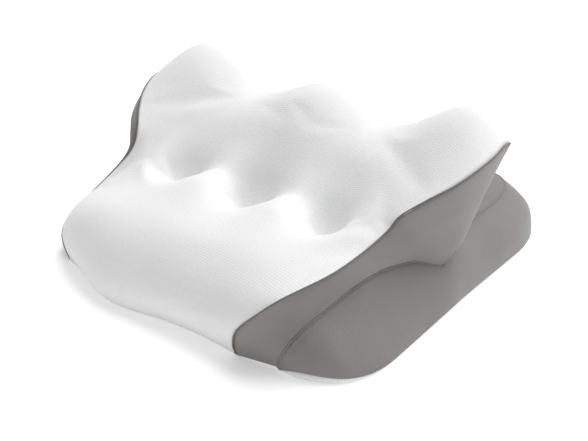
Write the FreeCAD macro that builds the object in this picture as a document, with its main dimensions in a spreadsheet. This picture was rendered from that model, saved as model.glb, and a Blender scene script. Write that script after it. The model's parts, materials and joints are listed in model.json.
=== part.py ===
import FreeCAD, Part
import math
import os

# Cervical traction pillow: a moulded foam body in a sewn knit cover.
# Frame: millimetres, +X to the user's right, +Y from the shoulders towards the head rest, +Z up.
# The origin is the centre of the underside, on the surface that the pillow lies on.

V = FreeCAD.Vector
doc = FreeCAD.newDocument("TractionPillow")

# ---------------------------------------------------------------- driving dimensions
SIZES = [
    ("width", 340.0),            # across the body, at the wings
    ("depth", 374.0),            # shoulder edge to rear edge
    ("height", 157.0),           # underside to the tops of the outer lobes
    ("skin", 1.6),               # knit with its backing
    ("ease", 0.4),               # room between the cover and the foam
    ("allowance", 2.2),          # a panel stops this far short of its seam line
    ("piping_radius", 0.9),
    ("lobe_pitch", 147.0),       # centre to centre of the three lobes
    ("bump_pitch", 82.0),        # centre to centre of the pits beside the two press bumps
    ("bump_height", 13.0),
    ("pit_depth", 13.0),         # how far the pits are pressed in below the bumps' own wave
    ("lobe_height", 13.0),
    ("shoulder_bulge", 12.0),    # how far the shoulder edge swells on the left
    ("slab_height", 34.0),       # top of the base slab behind the head rest
    ("band_bottom", 7.0),        # where the sides and the rear band meet the bottom panel
    ("rear_flat", 183.3),        # the rear face that carries the zipper
    ("band_half", 98.0),         # half the length of the rear band
    ("tape_height", 9.0),
    ("tooth_pitch", 4.0),
    ("tooth_depth", 1.2),
    ("slider_length", 11.0),
    ("slider_width", 7.2),
    ("plate", 1.1),
    ("pull_length", 24.0),
    ("pull_width", 6.0),
    ("pull_thick", 1.4),
]

sheet = doc.addObject("Spreadsheet::Sheet", "Sizes")
for row, (alias, value) in enumerate(SIZES, start=1):
    sheet.set("A%d" % row, alias)
    sheet.set("B%d" % row, str(value))
    sheet.setAlias("B%d" % row, alias)
doc.recompute()


def size(alias):
    """A driving dimension, read back from the sheet."""
    return float(getattr(sheet, alias))


SKIN = size("skin")
INSET = SKIN + size("ease")
DRAWN_WIDTH = 340.0
DRAWN_DEPTH = 374.0
DRAWN_HEIGHT = 157.0
SCALE = (size("width") / DRAWN_WIDTH, size("depth") / DRAWN_DEPTH, size("height") / DRAWN_HEIGHT)

# ---------------------------------------------------------------- the lines that shape the body
# Each line is drawn at the nominal size.  Station 0 is the shoulder edge on the ground, 2 the nose,
# 6 the neck crest, 8 the bottom of the pits, 12 the tops of the lobes and 14 their rear edge.
CENTRE = [(0, -176, 0), (0, -184, 14), (0, -186, 32), (0, -178, 52), (0, -160, 66), (0, -130, 74),
          (0, -103, 78), (0, -84, 72), (0, -68, 74), (0, -45, 95), (0, -20, 121), (0, 4, 139.5),
          (0, 28, 145.5), (0, 44, 138), (0, 49, 127)]
SEAM_RIGHT = [(70, -178, 0), (71, -183, 14), (79, -187, 32), (95, -184, 50), (112, -172, 66),
              (128, -139, 75), (134, -106, 81), (139, -82, 90), (144, -73, 101), (157, -58, 112),
              (170, -40, 121), (178, -18, 129), (180, 4, 133), (178, 24, 135), (175, 42, 130)]
# The light panel reaches round the left shoulder corner, so its left seam starts further out.
SEAM_LEFT = [(140, -166, 0), (151, -162, 12), (158, -157, 23), (161, -149, 34), (160, -137, 45),
             (155, -119, 58), (147, -101, 73)] + SEAM_RIGHT[7:]
# The wing seam runs along each side from the shoulder corner to the rear corner.
WING_RIGHT = [(104, -172, 10), (112, -173, 21), (118, -169, 31), (124, -160, 41), (129, -142, 48),
              (133, -124, 54), (136, -105, 57), (139, -80, 56), (140, -52, 50), (142, -22, 41),
              (138, 5, 38), (136, 40, 35), (134, 75, 34), (132, 108, 34), (125, 134, 34),
              (112, 152, 34), (98, 160, 34)]
WING_LEFT = [(152, -158, 8), (158, -154, 12), (162, -148, 17), (163, -138, 23), (162, -127, 30),
             (158, -113, 38), (150, -97, 48)] + WING_RIGHT[7:]
EDGE = [(110, -176, 4), (124, -171, 4), (139, -164, 4), (152, -153, 4), (161, -139, 4), (166, -123, 4),
        (168, -104, 4), (168, -80, 4), (168, -52, 4), (168, -25, 4), (168, 5, 4), (168, 40, 4),
        (168, 75, 4), (166, 112, 4), (154, 142, 4), (130, 166, 4), (99, 181, 4)]
EDGE_LEFT = [(158, -153, 4), (161, -148, 4), (164, -141, 4), (166, -133, 4), (167, -124, 4),
             (168, -114, 4)] + EDGE[6:]
# The rear edge of the head rest, from the notch up to the tip, one point per station from 8 to 14.
LEAF_EDGE = [(150, -14, 46), (153, -3, 48), (157, 6, 55), (160, 14, 69), (163, 24, 88),
             (168, 34, 110), (175, 42, 127)]

HINGE_STATION = 8.0
LAST_STATION = 14.0
PANEL_START = 0.8
WING_START = 1.0
WING_END = 15.9
WING_PER_STATION = 1.14          # wing stations beside one body station
DRAWN_SLAB = 34.0                # height of the slab in the lines above
FOLLOW_START = 7.0               # from here the wing seam begins to follow the slab's height
FOLLOW_LENGTH = 4.0
FRONT_START = 0.3                # the top panel starts just above the ground
END_GAP = 0.1                    # in stations, between the top panel and the tip
SIDE_END_GAP = 0.25
BACK_START_GAP = 0.25
BACK_END_GAP = 0.3
BACK_REACH = 0.95                # the back panel stops short of the side panels
BACK_DROP = 2.0                  # the back panel starts under the top panel's edge
SIDE_PUFF = 3.0
WING_PUFF = 4.0
REAR_PUFF = 8.0                  # added round the rear corner
REAR_PUFF_STATION = 12.5
REAR_PUFF_REACH = 2.6
LOBE_PUFF = 6.0                  # added beside the outer lobes
LOBE_PUFF_STATION = 10.8
LOBE_PUFF_REACH = 2.0
SPLIT_GAP = 0.12                 # in stations, each side of the flex line
NOTCH_Y = -8.0
NOTCH_Z = 39.0
LOBE_RISE = 20.0                 # how far the outer lobes stand above the middle one
SHOULDER_X = -66.0
SHOULDER_REACH = 52.0
SHOULDER_RISE = 2.2              # in stations
PIT_STATION = 7.2
PIT_REACH = 1.3
DEEP_STATION = 7.3
DEEP_REACH = 0.75
LOBE_STATION = 12.5
LOBE_REACH = 2.8
BLEND_POWER = 3.2                # how late the crown gives way to the seam line


def along(points, station):
    """A smooth line through the points, one station apart."""
    last = len(points) - 1
    index = min(max(int(math.floor(station)), 0), last - 1)
    part = station - index
    p0 = points[max(index - 1, 0)]
    p1 = points[index]
    p2 = points[index + 1]
    p3 = points[min(index + 2, last)]
    place = []
    for a, b, c, d in zip(p0, p1, p2, p3):
        bend = 2 * a - 5 * b + 4 * c - d
        sharp = 3 * (b - c) + d - a
        place.append(b + 0.5 * part * (c - a + part * (bend + part * sharp)))
    return place


def scaled(x, y, z):
    """From the nominal drawing to the driven size."""
    return V(x * SCALE[0], y * SCALE[1], z * SCALE[2])


def hump(station, middle, reach):
    return math.exp(-((station - middle) / reach) ** 2)


def crown_point(station, side):
    """The light top panel: side runs from -1 at the left seam to +1 at the right seam."""
    centre = along(CENTRE, station)
    seam = along(SEAM_RIGHT if side >= 0 else SEAM_LEFT, station)
    x = side * seam[0]
    blend = abs(side) ** BLEND_POWER
    y = centre[1] + (seam[1] - centre[1]) * blend
    z = centre[2] + (seam[2] - centre[2]) * blend
    pits = size("bump_height") * hump(station, PIT_STATION, PIT_REACH)
    wave = math.cos(2 * math.pi * x / size("bump_pitch"))
    deep = size("pit_depth") * hump(station, DEEP_STATION, DEEP_REACH)
    z -= (pits * wave + deep * max(wave, 0.0)) * (1 - blend)
    shoulder = hump(x, SHOULDER_X, SHOULDER_REACH) * hump(station, 0.0, SHOULDER_RISE)
    y -= size("shoulder_bulge") * shoulder
    reach = hump(station, LOBE_STATION, LOBE_REACH) * (1 - blend * blend)
    pitch = size("lobe_pitch")
    ripple = size("lobe_height") * (math.cos(2 * math.pi * x / pitch) - 1)
    z += reach * (ripple + LOBE_RISE * (x / pitch) ** 2)
    return scaled(x, y, max(z, 0.0))


def seam_point(station, sign):
    """The seam between the top panel and the grey sides."""
    x, y, z = along(SEAM_RIGHT if sign > 0 else SEAM_LEFT, station)
    return scaled(sign * x, y, z)


def wing_point(station, sign):
    """The wing seam; behind the flex line it follows the height of the slab."""
    x, y, z = along(WING_RIGHT if sign > 0 else WING_LEFT, station)
    rear = min(max((station - FOLLOW_START) / FOLLOW_LENGTH, 0.0), 1.0)
    z *= 1 + (size("slab_height") / DRAWN_SLAB - 1) * rear
    return scaled(sign * x, y, z)


def edge_point(station, sign):
    x, y, z = along(EDGE if sign > 0 else EDGE_LEFT, station)
    return scaled(sign * x, y, z)


def leaf_edge_point(station, sign):
    x, y, z = along(LEAF_EDGE, station - HINGE_STATION)
    return scaled(sign * x, y, z)


def leaf_back_point(station, side):
    """The underside of the head rest: the notch's upper face."""
    sign = 1 if side >= 0 else -1
    edge = leaf_edge_point(station, sign)
    top = crown_point(LAST_STATION, side)
    share = (station - HINGE_STATION) / (LAST_STATION - HINGE_STATION)
    notch = scaled(0, NOTCH_Y, NOTCH_Z)
    middle = V(0, notch.y + (top.y - notch.y) * share, notch.z + (top.z - BACK_DROP - notch.z) * share)
    blend = abs(side) ** BLEND_POWER
    x = abs(side) * edge.x
    return V(x, middle.y + (edge.y - middle.y) * blend, middle.z + (edge.z - middle.z) * blend)


# ---------------------------------------------------------------- solids between two surfaces
def spread(first, last, count):
    return [first + (last - first) * i / (count - 1) for i in range(count)]


def inward(grid, distance):
    """The grid moved along its own normals, towards +distance x (row direction x column direction)."""
    rows = len(grid)
    columns = len(grid[0])
    moved = []
    for i in range(rows):
        line = []
        for j in range(columns):
            down = grid[min(i + 1, rows - 1)][j] - grid[max(i - 1, 0)][j]
            across = grid[i][min(j + 1, columns - 1)] - grid[i][max(j - 1, 0)]
            normal = down.cross(across)
            normal.normalize()
            line.append(grid[i][j] + normal * distance)
        moved.append(line)
    return moved


def surface(grid):
    patch = Part.BSplineSurface()
    patch.interpolate(grid)
    return patch


def between(outer, inner):
    """The closed solid between two grids of the same shape."""
    one = surface(outer)
    two = surface(inner)
    faces = [one.toShape(), two.toShape()]
    u0, u1, v0, v1 = one.bounds()
    p0, p1, q0, q1 = two.bounds()
    borders = [(one.uIso(u0), two.uIso(p0)), (one.uIso(u1), two.uIso(p1)),
               (one.vIso(v0), two.vIso(q0)), (one.vIso(v1), two.vIso(q1))]
    for a, b in borders:
        faces.append(Part.makeRuledSurface(a.toShape(), b.toShape()))
    shell = Part.Shell(faces)
    shell.sewShape()
    solid = Part.Solid(shell)
    if solid.Volume < 0:
        solid.reverse()
    return solid


CORD_SIDES = 10


def tube(points, radius):
    """A cord through the points, closed at both ends, with its rings lined up to the vertical."""
    rings = []
    for i, point in enumerate(points):
        ahead = points[min(i + 1, len(points) - 1)] - points[max(i - 1, 0)]
        level = ahead.cross(V(0, 0, 1))
        level.normalize()
        raised = level.cross(ahead)
        raised.normalize()
        ring = []
        for turn in range(CORD_SIDES + 1):
            angle = 2 * math.pi * turn / CORD_SIDES
            ring.append(point + level * (radius * math.cos(angle)) + raised * (radius * math.sin(angle)))
        rings.append(Part.makePolygon(ring))
    return Part.makeLoft(rings, True, True)


def add_shape(name, shape):
    feature = doc.addObject("Part::Feature", name)
    feature.Label = name
    feature.Shape = shape
    feature.Placement = FreeCAD.Placement()
    return feature


NODES = []


def add_node(name, shape):
    feature = add_shape(name, shape)
    NODES.append(feature)
    return feature


# ---------------------------------------------------------------- the top panel
TRIM = size("allowance")
FRONT_ROWS = 25
REAR_ROWS = 21
COLUMNS = 37


def crown_grid(first, last, rows):
    grid = []
    for station in spread(first, last, rows):
        right = along(SEAM_RIGHT, station)[0]
        left = along(SEAM_LEFT, station)[0]
        sides = spread(-1 + TRIM / left, 1 - TRIM / right, COLUMNS)
        grid.append([crown_point(station, side) for side in sides])
    return grid


front_grid = crown_grid(FRONT_START, HINGE_STATION - SPLIT_GAP, FRONT_ROWS)
rear_grid = crown_grid(HINGE_STATION + SPLIT_GAP, LAST_STATION - END_GAP, REAR_ROWS)
add_node("top_panel_front", between(front_grid, inward(front_grid, SKIN)))
add_node("top_panel_head_rest", between(rear_grid, inward(rear_grid, SKIN)))


# ---------------------------------------------------------------- the side panels
AHEAD = 0.2                      # in stations, to find which way a line runs
WING_FOOT_GAP = 0.3
SIDE_ROWS = 19
TIP_ROWS = 13
WING_ROWS = 45
STRIP_COLUMNS = 9


def on(line, sign, rate=1.0):
    """One side's line as a function of the station alone."""
    return lambda station: line(station * rate, sign)


def side_puff(station):
    """The same all the way along."""
    return SIDE_PUFF


def lobe_puff(station):
    """More room beside the outer lobes, and none at the tip."""
    return LOBE_PUFF * hump(station, LOBE_PUFF_STATION, LOBE_PUFF_REACH)


def wing_puff(station):
    return WING_PUFF + REAR_PUFF * hump(station, REAR_PUFF_STATION, REAR_PUFF_REACH)


def strip_grid(upper, lower, sign, first, last, rows, bulge, trim_low=TRIM):
    """A panel between two lines; bulge(station) is how far it puffs out half way across."""
    grid = []
    for station in spread(first, last, rows):
        top = upper(station)
        low = lower(station)
        span = low - top
        away = TRIM / span.Length
        near = 1 - trim_low / span.Length
        ahead = upper(station + AHEAD) - upper(station - AHEAD)
        out = ahead.cross(span) * -sign
        out.normalize()
        line = []
        for share in spread(away, near, STRIP_COLUMNS):
            puff = bulge(station) * math.sin(math.pi * share)
            line.append(top + span * share + out * puff)
        grid.append(line)
    return grid


def outward_skin(grid, sign):
    """The panel's solid, its thickness laid towards the foam."""
    return between(grid, inward(grid, SKIN * sign))


for name, sign in (("right", 1), ("left", -1)):
    seam_line = on(seam_point, sign)
    wing_line = on(wing_point, sign)
    grid = strip_grid(seam_line, on(wing_point, sign, WING_PER_STATION), sign,
                      PANEL_START, HINGE_STATION - SPLIT_GAP, SIDE_ROWS, side_puff)
    add_node("side_panel_base_" + name, outward_skin(grid, sign))
    grid = strip_grid(seam_line, on(leaf_edge_point, sign), sign,
                      HINGE_STATION + SPLIT_GAP, LAST_STATION - SIDE_END_GAP, TIP_ROWS, lobe_puff)
    add_node("side_panel_head_rest_" + name, outward_skin(grid, sign))
    grid = strip_grid(wing_line, on(edge_point, sign), sign,
                      WING_START, WING_END, WING_ROWS, wing_puff, WING_FOOT_GAP)
    add_node("wing_panel_" + name, outward_skin(grid, sign))


# ---------------------------------------------------------------- the underside of the head rest
def leaf_back_grid(first, last, rows, reach):
    return [[leaf_back_point(station, side) for side in spread(-reach, reach, COLUMNS)]
            for station in spread(first, last, rows)]


back_grid = leaf_back_grid(HINGE_STATION + BACK_START_GAP, LAST_STATION - BACK_END_GAP,
                           TIP_ROWS, BACK_REACH)
add_node("head_rest_back_panel", between(back_grid, inward(back_grid, -SKIN)))


# ---------------------------------------------------------------- the foam
FOAM_FLOOR = INSET + 0.3         # just above the bottom panel
FOAM_EDGE = 1.0                  # the least height of the block's walls
FOAM_TAPER = (0.97, 0.95)
FOAM_REAR_ROOM = 7.0
FOAM_MARGIN = 4.2                # room for the flat facets under the curved cover
FOAM_COLUMNS = 29                # enough to follow the pits and the press bumps
FOAM_ROWS = 17
FOAM_NOSE = 2.0                  # the foam is plumb below this station
FOAM_LAST = 7.5                  # the foam turns down here, short of the flex line
FOAM_SIDE = 0.955                # the head rest foam stops short of its side panels
FOAM_FLAT = 0.97                 # the flat of the slab stops short of the wing seams
SLAB_FIRST_Y = -10.0             # the slab starts just in front of the flex line
SLAB_SHARES = (0.35, 0.7)        # where the rows of the slab's walls lie
SLAB_ROWS = 8
SLAB_LAST = 15.8
HEAD_FOAM_ROWS = 15
HEAD_FOAM_START = 0.3
HEAD_FOAM_END = 0.35
HEAD_FOAM_BACK = 0.945           # its underside stops a little sooner than its top


def foam_row(station):
    """Across the whole body: edge, wing, side, crown and back again."""
    row = []
    for sign in (-1, 1):
        edge = edge_point(station * WING_PER_STATION, sign)
        wing = wing_point(station * WING_PER_STATION, sign)
        seam = seam_point(station, sign)
        row.append([edge, (edge + wing) * 0.5, wing, (wing + seam) * 0.5])
    crown = [crown_point(station, side) for side in spread(-1, 1, FOAM_COLUMNS)]
    return row[0] + crown + row[1][::-1]


def slab_row(station, rear_y):
    """Across the base slab behind the head rest."""
    row = []
    for sign in (-1, 1):
        edge = edge_point(station, sign)
        wing = wing_point(station, sign)
        row.append([edge] + [edge + (wing - edge) * share for share in SLAB_SHARES] + [wing])
    wing = wing_point(station, 1)
    flat = []
    for side in spread(-FOAM_FLAT, FOAM_FLAT, FOAM_COLUMNS):
        y = wing.y + (rear_y - wing.y) * (1 - side * side)
        flat.append(V(side * wing.x, y, min(wing.z, size("slab_height"))))
    return row[0] + flat + row[1][::-1]


def under(grid):
    """The same grid laid on the floor of the foam, drawn in a little."""
    return [[V(p.x * FOAM_TAPER[0], p.y * FOAM_TAPER[1], FOAM_FLOOR) for p in row] for row in grid]


def lowered(grid):
    """Inside the cover, and never under the foam's own floor."""
    moved = inward(grid, INSET + FOAM_MARGIN)
    return [[V(p.x, p.y, max(p.z, FOAM_FLOOR + FOAM_EDGE)) for p in row] for row in moved]


body_grid = lowered([foam_row(k) for k in spread(FOAM_NOSE, FOAM_LAST, FOAM_ROWS)])
NOTCH_STATION = HINGE_STATION * WING_PER_STATION
slab_y = scaled(0, SLAB_FIRST_Y, 0).y
rows = []
for share in spread(0, 1, SLAB_ROWS):
    station = NOTCH_STATION + (SLAB_LAST - NOTCH_STATION) * share
    rear = slab_y + (size("rear_flat") - FOAM_REAR_ROOM - slab_y) * share
    rows.append(slab_row(station, rear))
slab_grid = lowered(rows)
whole_grid = body_grid + slab_grid


def facet(*corners):
    return Part.Face(Part.makePolygon(list(corners) + [corners[0]]))


def facet_block(grid):
    """A moulded block: the grid as flat facets, plumb-ish walls and one flat floor."""
    floor = under(grid)
    faces = []
    for i in range(len(grid) - 1):
        for j in range(len(grid[0]) - 1):
            a, b, c, d = grid[i][j], grid[i + 1][j], grid[i + 1][j + 1], grid[i][j + 1]
            faces += [facet(a, b, c), facet(a, c, d)]
    rim = grid[0] + [row[-1] for row in grid[1:]] + grid[-1][-2::-1] + [row[0] for row in grid[-2:0:-1]]
    foot = floor[0] + [row[-1] for row in floor[1:]] + floor[-1][-2::-1] + [row[0] for row in floor[-2:0:-1]]
    for i in range(len(rim)):
        a, b = rim[i - 1], rim[i]
        c, d = foot[i], foot[i - 1]
        faces += [facet(a, b, c), facet(a, c, d)]
    faces.append(facet(*foot))
    shell = Part.Shell(faces)
    shell.sewShape()
    solid = Part.Solid(shell)
    if solid.Volume < 0:
        solid.reverse()
    return solid


add_node("foam_base", facet_block(whole_grid))

front = [[crown_point(k, side) for side in spread(-FOAM_SIDE, FOAM_SIDE, COLUMNS)]
         for k in spread(HINGE_STATION + SPLIT_GAP, LAST_STATION - END_GAP * 2, HEAD_FOAM_ROWS)]
back = leaf_back_grid(HINGE_STATION + HEAD_FOAM_START, LAST_STATION - HEAD_FOAM_END,
                      HEAD_FOAM_ROWS, HEAD_FOAM_BACK)
add_node("foam_head_rest", between(inward(front, INSET), inward(back, -INSET)))


# ---------------------------------------------------------------- seam piping
CORD_START = 1.0
CORD_GAP = 0.2
WING_CORD_START = 1.1
BASE_CORD_RINGS = 25
HEAD_CORD_RINGS = 19
WING_CORD_RINGS = 45


def piping(name, line, first, last, count):
    add_node(name, tube([line(k) for k in spread(first, last, count)], size("piping_radius")))


for name, sign in (("right", 1), ("left", -1)):
    piping("piping_base_" + name, on(seam_point, sign), CORD_START,
           HINGE_STATION - CORD_GAP, BASE_CORD_RINGS)
    piping("piping_head_rest_" + name, on(seam_point, sign), HINGE_STATION + CORD_GAP,
           LAST_STATION - CORD_GAP, HEAD_CORD_RINGS)
    piping("piping_wing_" + name, on(wing_point, sign), WING_CORD_START,
           SLAB_LAST, WING_CORD_RINGS)


# ---------------------------------------------------------------- sketched pieces
def origin_plane(body, role):
    return [item for item in body.Origin.OriginFeatures if item.Role == role][0]


def new_body(name):
    body = doc.addObject("PartDesign::Body", name)
    body.Label = name
    return body


def new_sketch(body, name, role, offset):
    """A sketch on one of the body's own planes; offset is an expression for its height."""
    sketch = body.newObject("Sketcher::SketchObject", name)
    sketch.AttachmentSupport = [(origin_plane(body, role), "")]
    sketch.MapMode = "FlatFace"
    sketch.setExpression("AttachmentOffset.Base.z", offset)
    return sketch


def closed_line(sketch, points):
    """A closed outline of straight runs."""
    count = len(points)
    for i in range(count):
        a = V(points[i][0], points[i][1], 0)
        b = V(points[(i + 1) % count][0], points[(i + 1) % count][1], 0)
        sketch.addGeometry(Part.LineSegment(a, b))


def pad(body, sketch, name, length):
    feature = body.newObject("PartDesign::Pad", name)
    feature.Profile = sketch
    feature.setExpression("Length", length)
    return feature


def rounded(points, share):
    """The same outline with each corner cut by a short run, for a soft plan shape."""
    soft = []
    count = len(points)
    for i in range(count):
        x, y = points[i]
        for other in (points[i - 1], points[(i + 1) % count]):
            soft.append((x + (other[0] - x) * share, y + (other[1] - y) * share))
    return soft


def plan(points):
    """Right-hand outline points, scaled and mirrored to a closed plan."""
    right = [(x * SCALE[0], y * SCALE[1]) for x, y in points]
    left = [(-x, y) for x, y in reversed(right)]
    return right + left


FOOT = [(70, -170), (100, -166), (135, -154), (154, -138), (162, -118), (163, -60), (163, 60),
        (161, 108), (148, 138), (125, 160), (96, 174)]
REAR_TOP = [(129, -4), (129, 75), (127, 106), (120, 130), (108, 147), (96, 155), (94, 178)]

CORNER_SHARE = 0.25

bottom = new_body("bottom_panel")
outline = new_sketch(bottom, "foot_outline", "XY_Plane", "0 mm")
closed_line(outline, rounded(plan(FOOT), CORNER_SHARE))
pad(bottom, outline, "foot_pad", "Sizes.skin")
doc.recompute()
NODES.append(bottom)

rear_top = new_body("base_top_panel")
outline = new_sketch(rear_top, "rear_outline", "XY_Plane", "Sizes.slab_height - Sizes.skin")
closed_line(outline, plan(REAR_TOP))
pad(rear_top, outline, "rear_pad", "Sizes.skin")
doc.recompute()
NODES.append(rear_top)


def rectangle(sketch, x0, x1, z0, z1):
    closed_line(sketch, [(x0, z0), (x1, z0), (x1, z1), (x0, z1)])


def rear_pad(body, name, corners, face, thick):
    """A pad whose outer face looks to the rear at the distance that face gives (an expression)."""
    sketch = new_sketch(body, name + "_face", "XZ_Plane", "-(%s)" % face)
    for box in corners:
        rectangle(sketch, *box)
    return pad(body, sketch, name + "_pad", thick)


def strip(name, corners, face, thick):
    body = new_body(name)
    rear_pad(body, name, [corners], face, thick)
    doc.recompute()
    NODES.append(body)
    return body


# ---------------------------------------------------------------- the rear band and its zipper
BAND_END = 1.0                   # the band's pieces stop short of its ends
BAND_TOP_GAP = 2.6               # and short of the slab's top panel
TAPE_THICK = "1.2 mm"
HALF = size("band_half") - BAND_END
CHAIN_Z = 17.0                   # height of the zipper's centre line
BAND_OPEN = 5.0                  # the bands stop this far from the centre line
TAPE_SLIT = 0.4
TAPE_TOP = CHAIN_Z + size("tape_height")
TAPE_LOW = CHAIN_Z - size("tape_height")
TAPE_FACE = "Sizes.rear_flat - 1.9"
CHAIN_FACE = "Sizes.rear_flat - 0.6"
strip("rear_band_upper", (-HALF, HALF, CHAIN_Z + BAND_OPEN, size("slab_height") - BAND_TOP_GAP),
      "Sizes.rear_flat", "Sizes.skin")
strip("rear_band_lower", (-HALF, HALF, size("band_bottom"), CHAIN_Z - BAND_OPEN),
      "Sizes.rear_flat", "Sizes.skin")
strip("zipper_tape_upper", (-HALF, HALF, CHAIN_Z + TAPE_SLIT, TAPE_TOP), TAPE_FACE, TAPE_THICK)
strip("zipper_tape_lower", (-HALF, HALF, TAPE_LOW, CHAIN_Z - TAPE_SLIT), TAPE_FACE, TAPE_THICK)

CHAIN_HALF = 91.0
TOOTH_REACH = 1.9
CORE = 0.9
TOOTH_WIDTH = 1.1
TOOTH_GAP = 0.25                 # from a tooth's tip to the centre line
PITCH = size("tooth_pitch")
TOOTH_COUNT = int(2 * CHAIN_HALF / PITCH)


def tooth_row(name, sign):
    """A spine along the tape's edge with teeth that reach almost to the centre line."""
    body = new_body(name)
    spine = sorted((CHAIN_Z + sign * TOOTH_REACH, CHAIN_Z + sign * (TOOTH_REACH - CORE)))
    rear_pad(body, name, [(-CHAIN_HALF, CHAIN_HALF, spine[0], spine[1])], CHAIN_FACE, "Sizes.tooth_depth")
    shift = 0.0 if sign > 0 else PITCH / 2
    start = -CHAIN_HALF + shift
    reach = sorted((CHAIN_Z + sign * (TOOTH_REACH - CORE / 2), CHAIN_Z + sign * TOOTH_GAP))
    tooth = rear_pad(body, name + "_tooth", [(start, start + TOOTH_WIDTH, reach[0], reach[1])],
                     CHAIN_FACE, "Sizes.tooth_depth")
    pattern = body.newObject("PartDesign::LinearPattern", name + "_pattern")
    pattern.Originals = [tooth]
    pattern.Direction = (tooth.Profile[0], ["H_Axis"])
    pattern.Length = PITCH * (TOOTH_COUNT - 1)
    pattern.Occurrences = TOOTH_COUNT
    body.Tip = pattern
    doc.recompute()
    NODES.append(body)


tooth_row("zipper_teeth_upper", 1)
tooth_row("zipper_teeth_lower", -1)

STOP_X = 93.5
STOP_HALF = 1.2
for name, x in (("zipper_stop_left", -STOP_X), ("zipper_stop_right", STOP_X)):
    strip(name, (x - STOP_HALF, x + STOP_HALF, CHAIN_Z - TOOTH_REACH, CHAIN_Z + TOOTH_REACH),
          CHAIN_FACE, "Sizes.tooth_depth")

SLIDER_X = -84.0
SLIDER_HALF = size("slider_length") / 2
SLIDER_RISE = size("slider_width") / 2
FLANGE = 0.8
POST_IN = 2.0
POST_OUT = 2.8
POST_HALF = 0.9
PIN_RADIUS = 0.6
PIN_OUT = 2.9                    # the pin's centre, behind the rear face
PIN_END = 0.2                    # the pin ends inside the posts
PLATE_FACE = "Sizes.rear_flat + 0.9"
FLANGE_FACE = "Sizes.rear_flat + 0.1"
FLANGE_THICK = "1.5 mm"
POST_FACE = "Sizes.rear_flat + 3.9"
POST_THICK = "3.5 mm"
slider = new_body("zipper_slider")
left_x = SLIDER_X - SLIDER_HALF
right_x = SLIDER_X + SLIDER_HALF
rear_pad(slider, "slider_plate", [(left_x, right_x, CHAIN_Z - SLIDER_RISE, CHAIN_Z + SLIDER_RISE)],
         PLATE_FACE, "Sizes.plate")
flanges = [(left_x, right_x, CHAIN_Z + SLIDER_RISE - FLANGE, CHAIN_Z + SLIDER_RISE),
           (left_x, right_x, CHAIN_Z - SLIDER_RISE, CHAIN_Z - SLIDER_RISE + FLANGE)]
rear_pad(slider, "slider_flange", flanges, FLANGE_FACE, FLANGE_THICK)
posts = [(SLIDER_X - POST_HALF, SLIDER_X + POST_HALF, CHAIN_Z + POST_IN, CHAIN_Z + POST_OUT),
         (SLIDER_X - POST_HALF, SLIDER_X + POST_HALF, CHAIN_Z - POST_OUT, CHAIN_Z - POST_IN)]
rear_pad(slider, "slider_post", posts, POST_FACE, POST_THICK)
sketch = new_sketch(slider, "slider_pin_round", "XY_Plane", "%s mm" % (CHAIN_Z - POST_OUT + PIN_END))
pin_place = V(SLIDER_X, size("rear_flat") + PIN_OUT, 0)
sketch.addGeometry(Part.Circle(pin_place, V(0, 0, 1), PIN_RADIUS))
pad(slider, sketch, "slider_pin", "%s mm" % (2 * (POST_OUT - PIN_END)))
doc.recompute()
NODES.append(slider)

EYE_RADIUS = 1.7
EYE_HOLE = 0.95
EYE_HALF = 1.6
PULL_START = 2.4
NECK_GAP = 0.3                   # the neck starts outside the hole of the eye
NECK_LAP = 0.6                   # and runs this far into the blade
SLOT_START = 9.0                 # from the far end of the pull
SLOT_END = 3.0
SLOT_HALF = 1.2
pull = new_body("zipper_pull")
sketch = new_sketch(pull, "pull_eye_round", "XY_Plane", "%s mm" % (CHAIN_Z - EYE_HALF))
sketch.addGeometry(Part.Circle(pin_place, V(0, 0, 1), EYE_RADIUS))
sketch.addGeometry(Part.Circle(pin_place, V(0, 0, 1), EYE_HOLE))
pad(pull, sketch, "pull_eye", "%s mm" % (2 * EYE_HALF))
PULL_FACE = "Sizes.rear_flat + %s + Sizes.pull_thick / 2" % PIN_OUT
rear_pad(pull, "pull_neck", [(SLIDER_X + EYE_HOLE + NECK_GAP, SLIDER_X + PULL_START + NECK_LAP,
                              CHAIN_Z - EYE_HALF, CHAIN_Z + EYE_HALF)], PULL_FACE, "Sizes.pull_thick")
wide = size("pull_width") / 2
far = SLIDER_X + size("pull_length")
blade = [(SLIDER_X + PULL_START, far, CHAIN_Z - wide, CHAIN_Z + wide),
         (far - SLOT_START, far - SLOT_END, CHAIN_Z - SLOT_HALF, CHAIN_Z + SLOT_HALF)]
rear_pad(pull, "pull_blade", blade, PULL_FACE, "Sizes.pull_thick")
doc.recompute()
NODES.append(pull)


# ---------------------------------------------------------------- write
doc.recompute()
for item in doc.Objects:
    if "Invalid" in item.State or "Error" in item.State:
        raise RuntimeError("failed: " + item.Name)
os.makedirs("parts", exist_ok=True)
for node in NODES:
    shape = node.Shape
    print(node.Label, "valid", shape.isValid(), "volume", round(shape.Volume), shape.BoundBox)
    shape.exportStep("parts/%s.step" % node.Label)
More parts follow.
